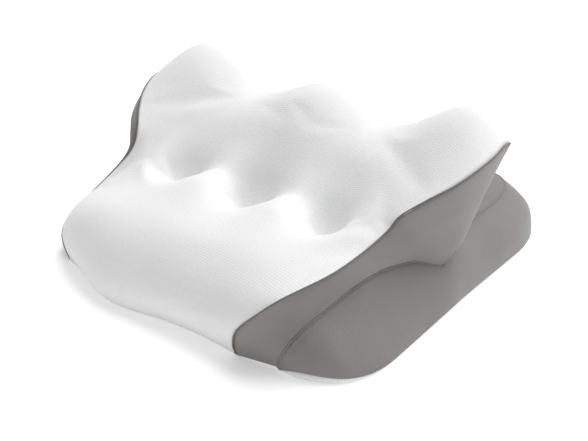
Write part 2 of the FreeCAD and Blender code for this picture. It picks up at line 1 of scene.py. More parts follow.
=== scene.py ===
import math
import bpy
import numpy as np
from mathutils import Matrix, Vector
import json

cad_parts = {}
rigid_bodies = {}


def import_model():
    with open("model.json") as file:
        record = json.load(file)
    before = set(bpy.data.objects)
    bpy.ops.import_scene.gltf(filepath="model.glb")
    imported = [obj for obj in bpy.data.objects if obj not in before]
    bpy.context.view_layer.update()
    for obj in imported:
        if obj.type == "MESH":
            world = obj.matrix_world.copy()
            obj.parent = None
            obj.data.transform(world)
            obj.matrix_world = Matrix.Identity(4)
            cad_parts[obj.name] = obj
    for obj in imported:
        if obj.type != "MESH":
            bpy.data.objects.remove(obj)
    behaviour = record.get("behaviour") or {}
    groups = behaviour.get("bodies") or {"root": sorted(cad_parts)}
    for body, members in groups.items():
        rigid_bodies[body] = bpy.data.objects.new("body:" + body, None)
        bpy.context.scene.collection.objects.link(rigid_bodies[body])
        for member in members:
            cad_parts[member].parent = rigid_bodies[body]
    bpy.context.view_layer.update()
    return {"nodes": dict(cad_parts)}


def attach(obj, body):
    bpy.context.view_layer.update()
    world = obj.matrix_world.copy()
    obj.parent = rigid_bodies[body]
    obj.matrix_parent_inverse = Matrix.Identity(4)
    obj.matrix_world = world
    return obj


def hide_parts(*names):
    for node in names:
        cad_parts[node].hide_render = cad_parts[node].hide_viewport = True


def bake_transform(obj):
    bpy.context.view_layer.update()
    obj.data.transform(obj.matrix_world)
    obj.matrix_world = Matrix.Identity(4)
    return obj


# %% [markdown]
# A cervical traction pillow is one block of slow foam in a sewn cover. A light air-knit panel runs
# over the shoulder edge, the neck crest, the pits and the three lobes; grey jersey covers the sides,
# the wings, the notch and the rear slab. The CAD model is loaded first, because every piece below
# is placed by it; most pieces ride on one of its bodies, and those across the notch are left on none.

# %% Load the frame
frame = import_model()
MM = 0.001


# %% [markdown]
# Operators act on whatever is selected, and loading leaves the CAD nodes selected. Two small
# helpers keep one piece selected and active, so that each step touches only its own piece.

# %% Selection helpers
def only(piece):
    if bpy.context.object and bpy.context.object.mode != "OBJECT":
        bpy.ops.object.mode_set(mode="OBJECT")
    bpy.ops.object.select_all(action="DESELECT")
    piece.select_set(True)
    bpy.context.view_layer.objects.active = piece
    return piece


def points_of(piece):
    flat = np.empty(len(piece.data.vertices) * 3)
    piece.data.vertices.foreach_get("co", flat)
    return flat.reshape(-1, 3)


def set_points(piece, points):
    piece.data.vertices.foreach_set("co", np.ascontiguousarray(points, dtype=float).ravel())
    piece.data.update()


# %% [markdown]
# The shape lives in a few lines, drawn in millimetres. They follow those of the CAD model, and are
# a little fuller at the left shoulder, the rear wings, the notch edge and the base edge: the middle
# profile from the shoulder edge over the crest to the rear edge of the lobes, the two seams beside
# it, the wing seams, the base edge and the rear edge of the head rest. One station is one point of
# a line. A smooth curve passes through the points, and two humps add the pits and the lobes.

# %% The lines of the body
CENTRE = [(0, -176, 0), (0, -184, 14), (0, -186, 32), (0, -178, 52), (0, -160, 66), (0, -130, 74),
          (0, -103, 78), (0, -84, 72), (0, -68, 74), (0, -45, 95), (0, -20, 121), (0, 4, 139.5),
          (0, 28, 145.5), (0, 44, 138), (0, 49, 127)]
SEAM_RIGHT = [(70, -178, 0), (71, -183, 14), (79, -187, 32), (95, -184, 50), (112, -172, 66),
              (128, -139, 75), (134, -106, 81), (139, -82, 90), (144, -73, 101), (157, -58, 112),
              (170, -40, 121), (178, -18, 129), (180, 4, 133), (178, 24, 135), (175, 42, 130)]
SEAM_LEFT = [(143, -166, 0), (156, -162, 9), (164, -157, 17), (168, -149, 25), (168, -137, 33),
             (164, -119, 45), (155, -101, 61), (142, -84, 84)] + SEAM_RIGHT[8:]
WING_RIGHT = [(104, -172, 2), (112, -173, 19), (118, -169, 31), (124, -160, 41), (129, -142, 48),
              (133, -124, 54), (136, -105, 57), (139, -80, 56), (144, -48, 49), (153, -14, 33),
              (146, 12, 35), (139, 42, 37), (138, 75, 39), (139, 108, 41), (134, 138, 42),
              (120, 158, 42), (98, 168, 40)]
WING_LEFT = [(150, -161, 2), (161, -155, 5), (167, -148, 9), (169, -138, 13), (168, -127, 19),
             (164, -113, 27), (154, -97, 40)] + WING_RIGHT[7:]
EDGE_RIGHT = [(108, -174, 2), (125, -173, 7), (141, -167, 7), (155, -156, 5), (164, -140, 3),
              (168, -123, 2), (169, -104, 2), (169, -80, 2), (169, -52, 2), (169, -25, 2), (169, 5, 2),
              (170, 40, 2), (171, 75, 2), (171, 112, 2), (162, 147, 2), (136, 172, 2), (99, 181, 3)]
EDGE_LEFT = [(152, -160, 1), (159, -151, 2), (163, -142, 2), (167, -133, 2), (168, -124, 2),
             (169, -114, 2)] + EDGE_RIGHT[6:]
LEAF_EDGE = [(153, -14, 33), (156, -4, 39), (160, 6, 50), (162, 16, 67), (165, 25, 88),
             (169, 35, 110), (175, 42, 130)]
HINGE_STATION = 8.0
LAST_STATION = 14.0
JOIN_STATION = 9.0
WING_END = 16.0
WING_PER_STATION = JOIN_STATION / HINGE_STATION
NOTCH = (-8.0, 38.0)
SLAB_TOP = 37.0
REAR_FLAT = 183.3
LOBE_PITCH = 147.0
BUMP_PITCH = 82.0
BUMP_HEIGHT = 13.0
PIT_DEPTH = 13.0
LOBE_HEIGHT = 13.0
LOBE_RISE = 20.0
BLEND_POWER = 3.2
LEFT_FULLER = 1.6
LEFT_FULLER_AT = (4.2, 2.5)      # a middle station and a reach, as in the lines below
TIP_FULLER = 1.8
TIP_FULLER_AT = (13.0, 2.2)
PITS_AT = (7.2, 1.3)
DEEP_AT = (7.3, 0.75)
LOBES_AT = (12.5, 2.8)
SHOULDER_BULGE = 14.0
SHOULDER_X = -66.0
SHOULDER_REACH = 52.0
SHOULDER_AT = (0.0, 2.2)


def along(line, station):
    """A smooth curve through the line's points, read at an array of stations."""
    line = np.array(line, float)
    station = np.asarray(station, float)
    last = len(line) - 1
    index = np.clip(np.floor(station).astype(int), 0, last - 1)
    part = (station - index)[..., None]
    a = line[np.maximum(index - 1, 0)]
    b = line[index]
    c = line[index + 1]
    d = line[np.minimum(index + 2, last)]
    bend = 2 * a - 5 * b + 4 * c - d
    sharp = 3 * (b - c) + d - a
    return b + 0.5 * part * (c - a + part * (bend + part * sharp))


def hump(station, middle, reach):
    return np.exp(-((station - middle) / reach) ** 2)


def crown(station, side):
    """The light top panel; side runs from -1 at the left seam to +1 at the right seam."""
    centre = along(CENTRE, station)
    right = along(SEAM_RIGHT, station)
    left = along(SEAM_LEFT, station)
    seam = np.where((side >= 0)[..., None], right, left)
    x = side * seam[..., 0]
    fuller = LEFT_FULLER * (side < 0) * hump(station, *LEFT_FULLER_AT)
    fuller = fuller + TIP_FULLER * hump(station, *TIP_FULLER_AT)
    blend = np.abs(side) ** (BLEND_POWER + fuller)
    y = centre[..., 1] + (seam[..., 1] - centre[..., 1]) * blend
    z = centre[..., 2] + (seam[..., 2] - centre[..., 2]) * blend
    pits = BUMP_HEIGHT * hump(station, *PITS_AT)
    deep = PIT_DEPTH * hump(station, *DEEP_AT)
    wave = np.cos(2 * np.pi * x / BUMP_PITCH)
    z = z - (pits * wave + deep * np.maximum(wave, 0.0)) * (1 - blend)
    bulge = SHOULDER_BULGE * hump(x, SHOULDER_X, SHOULDER_REACH) * hump(station, *SHOULDER_AT)
    y = y - bulge * (1 - blend)
    reach = hump(station, *LOBES_AT) * (1 - blend * blend)
    ripple = LOBE_HEIGHT * (np.cos(2 * np.pi * x / LOBE_PITCH) - 1)
    z = z + reach * (ripple + LOBE_RISE * (x / LOBE_PITCH) ** 2)
    return np.stack([x, y, np.maximum(z, 0.0)], -1)


def mirrored(points, sign):
    return points * np.array([sign, 1, 1])


def seam(station, sign):
    return mirrored(along(SEAM_RIGHT if sign > 0 else SEAM_LEFT, station), sign)


def wing(station, sign):
    return mirrored(along(WING_RIGHT if sign > 0 else WING_LEFT, station), sign)


def edge(station, sign):
    return mirrored(along(EDGE_RIGHT if sign > 0 else EDGE_LEFT, station), sign)


def leaf_edge(station, sign):
    return mirrored(along(LEAF_EDGE, station - HINGE_STATION), sign)


# %% [markdown]
# Each panel starts as a grid primitive, cut to rows and columns, and its points are then moved onto
# the body, the way a sculptor pulls a flat sheet over a form. Neighbouring panels share their border
# points exactly, so the panels can be joined into one closed cover, blown up a little as a real
# stuffed cover is, and cut apart again along the seams.

# %% A flat map of each panel, in metres, so that the knit keeps one size all over
def cloth_map(piece, rows, columns):
    spots = points_of(piece).reshape(rows, columns, 3)
    steps = np.linalg.norm(np.diff(spots, axis=1), axis=2)
    along_row = np.concatenate([np.zeros((rows, 1)), np.cumsum(steps, axis=1)], axis=1)
    along_row -= along_row[:, columns // 2][:, None]
    falls = np.linalg.norm(np.diff(spots[:, columns // 2], axis=0), axis=1)
    down_column = np.concatenate([[0.0], np.cumsum(falls)])
    flat = np.stack([along_row, np.repeat(down_column[:, None], columns, axis=1)], -1).reshape(-1, 2)
    corners = np.empty(len(piece.data.loops), dtype=int)
    piece.data.loops.foreach_get("vertex_index", corners)
    piece.data.uv_layers.active.data.foreach_set("uv", flat[corners].ravel())


# %% A panel from a grid
PANEL_IDS = {}


def panel(name, rows, columns, place):
    """A grid whose points go where place(row share, column share) says, in millimetres."""
    bpy.ops.object.select_all(action="DESELECT")
    bpy.ops.mesh.primitive_grid_add(x_subdivisions=columns, y_subdivisions=rows, size=1.0)
    piece = bpy.context.object
    piece.name = name
    start = points_of(piece)
    across = start[:, 0] + 0.5
    down = start[:, 1] + 0.5
    set_points(piece, place(down, across) * MM)
    number = PANEL_IDS.setdefault(name, len(PANEL_IDS) + 1)
    mark = piece.data.attributes.new("panel", "INT", "FACE")
    mark.data.foreach_set("value", [number] * len(piece.data.polygons))
    cloth_map(piece, rows + 1, columns + 1)
    print(name, "faces", len(piece.data.polygons))
    return piece


STEPS = 7                        # rows of the grid in one station
COLUMNS = 110
NOTCH_ROWS = int((LAST_STATION - HINGE_STATION) * STEPS)
SLAB_STEPS = 6


# %% The top panel
top_sheet = panel("top_panel", int(LAST_STATION * STEPS), COLUMNS,
                  lambda down, across: crown(down * LAST_STATION, across * 2 - 1))


# %% The side panels, from the top seam down to the wing seam or the rear edge of the head rest
def lower_line(station, sign):
    low = wing(station * WING_PER_STATION, sign)
    high = leaf_edge(np.maximum(station, HINGE_STATION), sign)
    return np.where((station < HINGE_STATION)[..., None], low, high)


SIDE_COLUMNS = 22
SIDE_PUFF = 3.0
LOBE_SWELL = {1: 2.0, -1: 11.0}  # the side panel under the outer lobe stands out by this
LOBE_SWELL_STATION = 8.4
LOBE_SWELL_REACH = 1.6


def side_place(sign, puff):
    def place(down, across):
        station = down * LAST_STATION
        a = seam(station, sign)
        b = lower_line(station, sign)
        points = a + (b - a) * across[..., None]
        swell = puff * np.sin(np.pi * across) * np.sin(np.pi * np.clip(down, 0, 1)) ** 0.5
        lobe = hump(station, LOBE_SWELL_STATION, LOBE_SWELL_REACH)
        ear = LOBE_SWELL[sign] * np.sin(np.pi * across ** 0.42) * lobe
        points[..., 0] += sign * (swell + 0.8 * ear)
        points[..., 1] -= 0.6 * ear
        return points
    return place


side_sheets = [panel("side_panel_" + name, int(LAST_STATION * STEPS), SIDE_COLUMNS,
                     side_place(sign, SIDE_PUFF))
               for name, sign in (("right", 1), ("left", -1))]


# %% The wings, from the wing seam down to the base edge
WING_COLUMNS = 18
WING_PUFF = 4.0
BOLSTER = 9.0                    # added round the rear corner
BOLSTER_STATION = 12.6
BOLSTER_REACH = 3.2


def wing_place(sign, first, last):
    """Fuller round the rear corner, where the slab's foam fills the cover."""
    def place(down, across):
        station = first + (last - first) * down
        a = wing(station, sign)
        b = edge(station, sign)
        points = a + (b - a) * across[..., None]
        swell = (WING_PUFF + BOLSTER * hump(station, BOLSTER_STATION, BOLSTER_REACH))
        swell = swell * np.sin(np.pi * across)
        swell = swell * np.clip(station / 2, 0, 1) * np.clip((WING_END - station) / 2, 0, 1)
        turn = np.clip((station - 12) / 4, 0, 1)
        out = np.stack([sign * (1 - turn * 0.4), turn * 0.8, 0.8 + 0 * turn], -1)
        return points + out * swell[..., None] * 0.75
    return place


wing_front_rows = int(HINGE_STATION * STEPS)
wing_rear_rows = int((WING_END - JOIN_STATION) * SLAB_STEPS)
wing_sheets = []
for name, sign in (("right", 1), ("left", -1)):
    wing_sheets.append(panel("wing_panel_" + name, wing_front_rows, WING_COLUMNS,
                             wing_place(sign, 0.0, JOIN_STATION)))
    wing_sheets.append(panel("wing_panel_" + name, wing_rear_rows, WING_COLUMNS,
                             wing_place(sign, JOIN_STATION, WING_END)))


# %% The notch: the back of the head rest and the top of the slab
def back_place(down, across):
    side = across * 2 - 1
    station = HINGE_STATION + (LAST_STATION - HINGE_STATION) * down
    edge_line = along(LEAF_EDGE, station - HINGE_STATION)
    top = crown(np.full_like(station, LAST_STATION), side)
    share = down
    y = NOTCH[0] + (top[..., 1] - NOTCH[0]) * share
    z = NOTCH[1] + (top[..., 2] - NOTCH[1]) * share
    belly = 5.0 * np.sin(np.pi * share) * (1 - side ** 2)
    blend = np.abs(side) ** BLEND_POWER
    x = side * edge_line[..., 0]
    y = y + belly + (edge_line[..., 1] - y - belly) * blend
    z = z + (edge_line[..., 2] - z) * blend
    rear = down[..., None] > 0.9999
    return np.where(rear, top, np.stack([x, y, z], -1))


def slab_place(down, across):
    side = across * 2 - 1
    station = JOIN_STATION + (WING_END - JOIN_STATION) * down
    line = along(WING_RIGHT, station)
    line_front = along(LEAF_EDGE, np.zeros_like(station))
    x = side * line[..., 0]
    rear = NOTCH[0] + (REAR_FLAT - 4 - NOTCH[0]) * down
    blend = np.abs(side) ** 6
    y = rear + (line[..., 1] - rear) * blend
    crown_z = SLAB_TOP + (NOTCH[1] - SLAB_TOP) * np.exp(-(down / 0.08) ** 2)
    z = crown_z + (line[..., 2] - crown_z) * np.abs(side) ** BLEND_POWER
    front = back_place(np.zeros_like(down), across)
    near = (np.exp(-(down / 0.05) ** 2) * (1 - np.abs(side) ** 8))[..., None]
    return np.where(down[..., None] < 0.0001, front, np.stack([x, y, z], -1) * (1 - near) + front * near)


back_sheet = panel("head_rest_back", NOTCH_ROWS, COLUMNS, back_place)
slab_sheet = panel("slab_top", wing_rear_rows, COLUMNS, slab_place)


# %% The rear band and the bottom panel
CHAIN_Z = 17.0                   # height of the zipper
OPEN_HALF = 4.6                  # the band opens this far above and below the zipper
CHANNEL_Y = 179.7                # floor of the channel behind the tapes
FOOT_Z = 3.0


def rear_place(down, across):
    """The rear band, folded in along both sides of the zipper."""
    side = across * 2 - 1
    top = slab_place(np.ones_like(down), across)
    low_corner = along(EDGE_RIGHT, np.full_like(down, WING_END))
    low = np.stack([side * low_corner[..., 0], 0 * side + REAR_FLAT - 3, 0 * side + FOOT_Z], -1)
    points = top + (low - top) * down[..., None]
    rounding = np.clip(np.sin(np.pi * down) * 3, 0, 1)
    flat_y = points[..., 1] + (REAR_FLAT - points[..., 1]) * rounding * (1 - side ** 8)
    height = points[..., 2] - CHAIN_Z
    inside = (np.abs(height) < OPEN_HALF) & (np.abs(side) < 0.975)
    points[..., 1] = np.where(inside, CHANNEL_Y, flat_y)
    corner_a = wing(np.full_like(down, WING_END), 1)
    ends = corner_a + (low_corner - corner_a) * down[..., None]
    ends = ends * np.stack([np.sign(side), np.ones_like(side), np.ones_like(side)], -1)
    return np.where((np.abs(side) > 0.9999)[..., None], ends, points)


rear_sheet = panel("rear_band", WING_COLUMNS, COLUMNS, rear_place)


# %% [markdown]
# The panels become one cover: joined, with the shared border points merged. The open rim that is
# left runs round the foot; it is turned under in three steps, as the curled hem of the bottom
# panel, and closed with one flat face that the pillow lies on.

# %% Join the panels into one cover
def join(pieces):
    only(pieces[0])
    for piece in pieces:
        piece.select_set(True)
    bpy.ops.object.join()
    return bpy.context.object


sheets = [top_sheet, back_sheet, slab_sheet, rear_sheet] + side_sheets + wing_sheets
cover = join(sheets)
cover.name = "cover_form"
only(cover)
bpy.ops.object.mode_set(mode="EDIT")
bpy.ops.mesh.select_all(action="SELECT")
bpy.ops.mesh.remove_doubles(threshold=0.00005)
bpy.ops.mesh.select_all(action="DESELECT")
bpy.ops.mesh.select_mode(type="EDGE")
bpy.ops.mesh.select_non_manifold(extend=False, use_multi_face=False,
                                 use_non_contiguous=False, use_verts=False)
bpy.ops.object.mode_set(mode="OBJECT")
RIM_TOP = 10.0
high = 0
for line in cover.data.edges:
    if line.select and max(cover.data.vertices[i].co.z for i in line.vertices) > RIM_TOP * MM:
        line.select = False
        high += 1
print("rim edges", sum(line.select for line in cover.data.edges), "open edges above the rim", high)

# %% Turn the rim under
HEM = ((0.999, 0.5), (0.992, 0.1), (0.96, 0.0))
panel_faces = len(cover.data.polygons)
PANEL_IDS["bottom_panel"] = len(PANEL_IDS) + 1
for share, height in HEM:
    bpy.ops.object.mode_set(mode="EDIT")
    bpy.ops.mesh.extrude_edges_move()
    bpy.ops.object.mode_set(mode="OBJECT")
    chosen = np.array([v.select for v in cover.data.vertices])
    spots = points_of(cover)
    if share == HEM[0][0]:
        rim_height = spots[chosen, 2].copy()
        rim_plan = spots[chosen, :2].copy()
    spots[chosen, :2] = rim_plan * share
    spots[chosen, 2] = rim_height * height
    set_points(cover, spots)
bpy.ops.object.mode_set(mode="EDIT")
bpy.ops.mesh.edge_face_add()
bpy.ops.mesh.select_all(action="SELECT")
bpy.ops.mesh.normals_make_consistent(inside=False)
bpy.ops.mesh.select_all(action="DESELECT")
bpy.ops.object.mode_set(mode="OBJECT")
marks = cover.data.attributes["panel"].data
for number in range(panel_faces, len(marks)):
    marks[number].value = PANEL_IDS["bottom_panel"]
print("cover points", len(cover.data.vertices), "faces", len(cover.data.polygons))


# %% [markdown]
# A stuffed cover is not a smooth machine shape. Air pressure inside the closed form makes each
# panel stand a little fuller between its seams, and the sewn lines stay where they are. Cloth
# simulation does this, with the seams and the underside pinned. How far a point may move is
# capped, so that the pillow keeps its size.

# %% Find the sewn lines
marks = np.empty(len(cover.data.polygons), dtype=int)
cover.data.attributes["panel"].data.foreach_get("value", marks)
first_mark = np.full(len(cover.data.vertices), -1)
sewn = np.zeros(len(cover.data.vertices), dtype=bool)
for face in cover.data.polygons:
    for corner in face.vertices:
        if first_mark[corner] == -1:
            first_mark[corner] = marks[face.index]
        elif first_mark[corner] != marks[face.index]:
            sewn[corner] = True
rest = points_of(cover)
grounded = rest[:, 2] < 0.004
channel = (np.abs(rest[:, 0]) < 0.1) & (rest[:, 1] > 0.176)
print("sewn points", int(sewn.sum()), "pinned", int((sewn | grounded | channel).sum()))


# %% Blow the cover up
PRESSURE = 4.0
MOST = 0.004                     # a point moves no further than this
LAST_FRAME = 20


def blow_up(piece, pinned):
    group = piece.vertex_groups.new(name="sewn")
    group.add([int(i) for i in np.flatnonzero(pinned)], 1.0, "REPLACE")
    only(piece)
    bpy.ops.object.modifier_add(type="CLOTH")
    cloth = piece.modifiers[-1]
    cloth.settings.quality = 4
    cloth.settings.mass = 0.2
    cloth.settings.use_pressure = True
    cloth.settings.uniform_pressure_force = PRESSURE
    cloth.settings.effector_weights.gravity = 0
    cloth.settings.vertex_group_mass = "sewn"
    cloth.point_cache.frame_start = 1
    cloth.point_cache.frame_end = LAST_FRAME
    for number in range(1, LAST_FRAME + 1):
        bpy.context.scene.frame_set(number)
    blown = piece.evaluated_get(bpy.context.evaluated_depsgraph_get())
    shape = blown.to_mesh()
    moved = np.empty(len(shape.vertices) * 3)
    shape.vertices.foreach_get("co", moved)
    blown.to_mesh_clear()
    bpy.ops.object.modifier_remove(modifier=cloth.name)
    start = points_of(piece)
    move = moved.reshape(-1, 3) - start
    length = np.linalg.norm(move, axis=1)
    held = MOST * np.tanh(length / MOST)
    set_points(piece, start + move * (held / np.maximum(length, 1e-9))[:, None])
    piece.vertex_groups.clear()
    bpy.context.scene.frame_set(1)
    print("blown up, mean", float(held.mean()), "most", float(held.max()))


blow_up(cover, sewn | grounded | channel)


# %% [markdown]
# By hand, a sculptor would now press a shallow groove along every seam and leave the faint hollows
# and swells of hand-filled foam. The same is done here by moving points along their normals: a
# groove that fades within a few millimetres of a sewn line, and slow waves under a millimetre high.

# %% Seam grooves and slow waves
from mathutils import kdtree
from mathutils import noise

GROOVE = 0.0007
GROOVE_REACH = 0.0035
WAVE = 0.0007
WAVE_PITCH = 0.038


def normals_of(piece):
    flat = np.empty(len(piece.data.vertices) * 3)
    piece.data.vertices.foreach_get("normal", flat)
    return flat.reshape(-1, 3)


def relax(piece, chosen):
    spots = points_of(piece)
    tree = kdtree.KDTree(int(chosen.sum()))
    for order, number in enumerate(np.flatnonzero(chosen)):
        tree.insert(spots[number], order)
    tree.balance()
    gap = np.array([tree.find(spot)[2] for spot in spots])
    waves = np.array([noise.noise(Vector(spot) / WAVE_PITCH) for spot in spots])
    shift = WAVE * waves * (1 - np.exp(-(gap / 0.01) ** 2)) - GROOVE * np.exp(-(gap / GROOVE_REACH) ** 2)
    shift = shift * np.clip((spots[:, 2] - 0.004) / 0.01, 0, 1) * ~channel
    set_points(piece, spots + normals_of(piece) * shift[:, None])


relax(cover, sewn)

# %% [markdown]
# Knit cloth has a grain. The light panel is an air knit: small square cells in rows, with a soft
# sheen. Its colour is slightly darker in the cell than on the rib, on the same cells as the bump:
# the grain is real, and the darker hollows are painted shade. The grey panels are smooth jersey,
# whose columns of stitches are finer and darken in their hollows the same way. Both read the flat
# map in metres, so the grain follows the cloth over every hump. Large slow noise breaks up the colour.

# %% Material helpers
def new_material(name, rough, sheen=0.0):
    material = bpy.data.materials.new(name)
    material.use_nodes = True
    tree = material.node_tree
    shader = tree.nodes["Principled BSDF"]
    shader.inputs["Roughness"].default_value = rough
    shader.inputs["Sheen Weight"].default_value = sheen
    shader.inputs["Sheen Roughness"].default_value = 0.5
    shader.inputs["Specular IOR Level"].default_value = 0.25
    return material, tree, shader


def add(tree, kind, **values):
    node = tree.nodes.new(kind)
    for name, value in values.items():
        if hasattr(node, name):
            setattr(node, name, value)
        else:
            node.inputs[name.replace("_", " ")].default_value = value
    return node


def blend_colour(tree, factor, low, high):
    mix = add(tree, "ShaderNodeMix", data_type="RGBA")
    tree.links.new(factor, mix.inputs[0])
    mix.inputs[6].default_value = (*low, 1)
    mix.inputs[7].default_value = (*high, 1)
    return mix


WAVE_SCALE = 0.31416             # the wave texture's own scale for one band every metre


def ribs(tree, source, pitch, direction):
    """Even ribs along one direction of the map, one every pitch metres."""
    wave = add(tree, "ShaderNodeTexWave", wave_type="BANDS", bands_direction=direction)
    wave.inputs["Scale"].default_value = WAVE_SCALE / pitch
    tree.links.new(source, wave.inputs["Vector"])
    return wave


# %% Knit cloth
def knit(name, low, high, pitch, depth, rough, sheen, on_map=True):
    material, tree, shader = new_material(name, rough, sheen)
    where = add(tree, "ShaderNodeTexCoord")
    source = where.outputs["UV"] if on_map else where.outputs["Object"]
    columns = ribs(tree, source, pitch[0], "X")
    rows = ribs(tree, source, pitch[1], "Y")
    cell = add(tree, "ShaderNodeMath", operation="MULTIPLY")
    tree.links.new(columns.outputs["Fac"], cell.inputs[0])
    tree.links.new(rows.outputs["Fac"], cell.inputs[1])
    slow = add(tree, "ShaderNodeTexNoise")
    slow.inputs["Scale"].default_value = 22.0
    slow.inputs["Detail"].default_value = 4.0
    tree.links.new(where.outputs["Object"], slow.inputs["Vector"])
    fuzz = add(tree, "ShaderNodeTexNoise")
    fuzz.inputs["Scale"].default_value = 900.0
    tree.links.new(where.outputs["Object"], fuzz.inputs["Vector"])
    grain_and_painted_shade = add(tree, "ShaderNodeMath", operation="MULTIPLY_ADD")
    tree.links.new(cell.outputs[0], grain_and_painted_shade.inputs[0])
    grain_and_painted_shade.inputs[1].default_value = 0.55
    tree.links.new(slow.outputs["Fac"], grain_and_painted_shade.inputs[2])
    # Colour and bump share the cells: the hollows are darker, which paints the shade in them.
    colour = blend_colour(tree, grain_and_painted_shade.outputs[0], low, high)
    tree.links.new(colour.outputs[2], shader.inputs["Base Color"])
    height = add(tree, "ShaderNodeMath", operation="MULTIPLY_ADD")
    tree.links.new(fuzz.outputs["Fac"], height.inputs[0])
    height.inputs[1].default_value = 0.35
    tree.links.new(cell.outputs[0], height.inputs[2])
    bump = add(tree, "ShaderNodeBump")
    bump.inputs["Strength"].default_value = 0.55
    bump.inputs["Distance"].default_value = depth
    tree.links.new(height.outputs[0], bump.inputs["Height"])
    tree.links.new(bump.outputs["Normal"], shader.inputs["Normal"])
    print(name, "cells", pitch, "m")
    return material


white_knit = knit("white_air_knit", (0.82, 0.823, 0.828), (0.89, 0.89, 0.89),
                  (0.0021, 0.0021), 0.00035, 0.85, 0.25)
white_base = knit("white_base_cloth", (0.74, 0.745, 0.75), (0.85, 0.85, 0.85),
                  (0.0021, 0.0021), 0.0003, 0.85, 0.2, on_map=False)
grey_knit = knit("grey_jersey", (0.198, 0.186, 0.182), (0.262, 0.247, 0.241),
                 (0.0011, 0.0014), 0.00022, 0.8, 0.3)
# The seam cord is real grey piping. Its tone, darker than the jersey, paints the shadow line along the top
# seam.
piping_and_painted_shade = knit("grey_seam_cord_and_painted_shade", (0.13, 0.122, 0.119), (0.19, 0.18, 0.175),
                 (0.0012, 0.0012), 0.0002, 0.8, 0.2, on_map=False)
# The top stitching is a real cord. Its tone, lighter than the jersey, paints the highlight that the light
# catches along the wing seam.
wing_cord = knit("grey_top_stitch_cord_and_painted_highlight", (0.24, 0.228, 0.222), (0.32, 0.305, 0.296),
                 (0.0012, 0.0012), 0.0002, 0.8, 0.2, on_map=False)

# %% [markdown]
# The cover is now cut apart along its sewn lines, as the pattern pieces of a real cover are. One
# material slot per panel lets the separate operator do the cutting, and Solidify then gives every
# panel the thickness of the knit, laid inwards so that the outside stays where it is.

# %% Cut the cover into its panels
KNIT_THICK = 0.0008
PANEL_NAMES = {number: name for name, number in PANEL_IDS.items()}
cover.data.materials.clear()
for number in sorted(PANEL_NAMES):
    cover.data.materials.append(bpy.data.materials.new("cut_%d" % number))
cover.data.polygons.foreach_set("material_index", marks - 1)
cover.data.polygons.foreach_set("use_smooth", [True] * len(marks))
only(cover)
bpy.ops.object.mode_set(mode="EDIT")
bpy.ops.mesh.select_all(action="SELECT")
bpy.ops.mesh.separate(type="MATERIAL")
bpy.ops.object.mode_set(mode="OBJECT")
PANELS = {}
for piece in list(bpy.context.selected_objects):
    number = piece.data.attributes["panel"].data[0].value
    name = PANEL_NAMES[number]
    piece.name = "cover_" + name
    piece.data.name = "cover_" + name
    PANELS[name] = piece
print("panels", sorted(PANELS))

# %% Thickness and cloth for every panel
WHITE = {"top_panel": white_knit, "bottom_panel": white_base}


def thicken(piece, thick):
    only(piece)
    bpy.ops.object.modifier_add(type="SOLIDIFY")
    shell = piece.modifiers[-1]
    shell.thickness = thick
    shell.offset = -1.0
    bpy.ops.object.modifier_apply(modifier=shell.name)


for name, piece in PANELS.items():
    piece.data.materials.clear()
    piece.data.materials.append(WHITE.get(name, grey_knit))
    piece.data.polygons.foreach_set("material_index", [0] * len(piece.data.polygons))
    thicken(piece, KNIT_THICK)
    print(piece.name, "triangles about", 2 * len(piece.data.polygons))

for material in list(bpy.data.materials):
    if material.name.startswith("cut_"):
        bpy.data.materials.remove(material)


# %% [markdown]
# A thin covered cord is sewn into each seam beside the light panel, and a raised line of top
# stitching follows the wing seams. Each is a grid rolled into a tube round its line, with the two
# long borders merged and both ends closed, so that it is as smooth as the cloth beside it.

# %% Roll a cord round a line
CORD_AROUND = 10


def roll(name, spine, radius, rows):
    bpy.ops.object.select_all(action="DESELECT")
    bpy.ops.mesh.primitive_grid_add(x_subdivisions=CORD_AROUND, y_subdivisions=rows, size=1.0)
    piece = bpy.context.object
    piece.name = name
    start = points_of(piece)
    turn = 2 * np.pi * (start[:, 0] + 0.5)
    share = start[:, 1] + 0.5
    centre = spine(share) * MM
    ahead = spine(np.minimum(share + 0.004, 1.0)) - spine(np.maximum(share - 0.004, 0.0))
    ahead /= np.linalg.norm(ahead, axis=1)[:, None]
    level = np.cross(ahead, (0, 0, 1.0))
    level /= np.linalg.norm(level, axis=1)[:, None]
    raised = np.cross(level, ahead)
    ring = level * np.cos(turn)[:, None] + raised * np.sin(turn)[:, None]
    set_points(piece, centre + ring * radius * MM)
    bpy.ops.object.mode_set(mode="EDIT")
    bpy.ops.mesh.select_all(action="SELECT")
    bpy.ops.mesh.remove_doubles(threshold=0.00005)
    bpy.ops.mesh.select_all(action="DESELECT")
    bpy.ops.mesh.select_non_manifold(extend=False, use_multi_face=False,
                                     use_non_contiguous=False, use_verts=False)
    bpy.ops.mesh.edge_face_add()
    bpy.ops.mesh.select_all(action="SELECT")
    bpy.ops.mesh.normals_make_consistent(inside=False)
    bpy.ops.object.mode_set(mode="OBJECT")
    bpy.ops.object.shade_smooth()
    print(name, "faces", len(piece.data.polygons))
    return piece


CORD_RADIUS = 0.7
WING_CORD_RADIUS = 0.4
CORD_ROWS = 220
WING_CORD_ROWS = 240
TOP_CORD_RUN = (0.25, 13.6)      # first station and length in stations
WING_CORD_RUN = (0.3, 15.5)


def sunk(points):
    """The cord lies a little sunk in the groove of its seam."""
    return points * (0.998, 1.0, 1.0) - (0, 0, 0.5)


def cord_line(line, run, sign):
    return lambda share: sunk(line(run[0] + run[1] * share, sign))


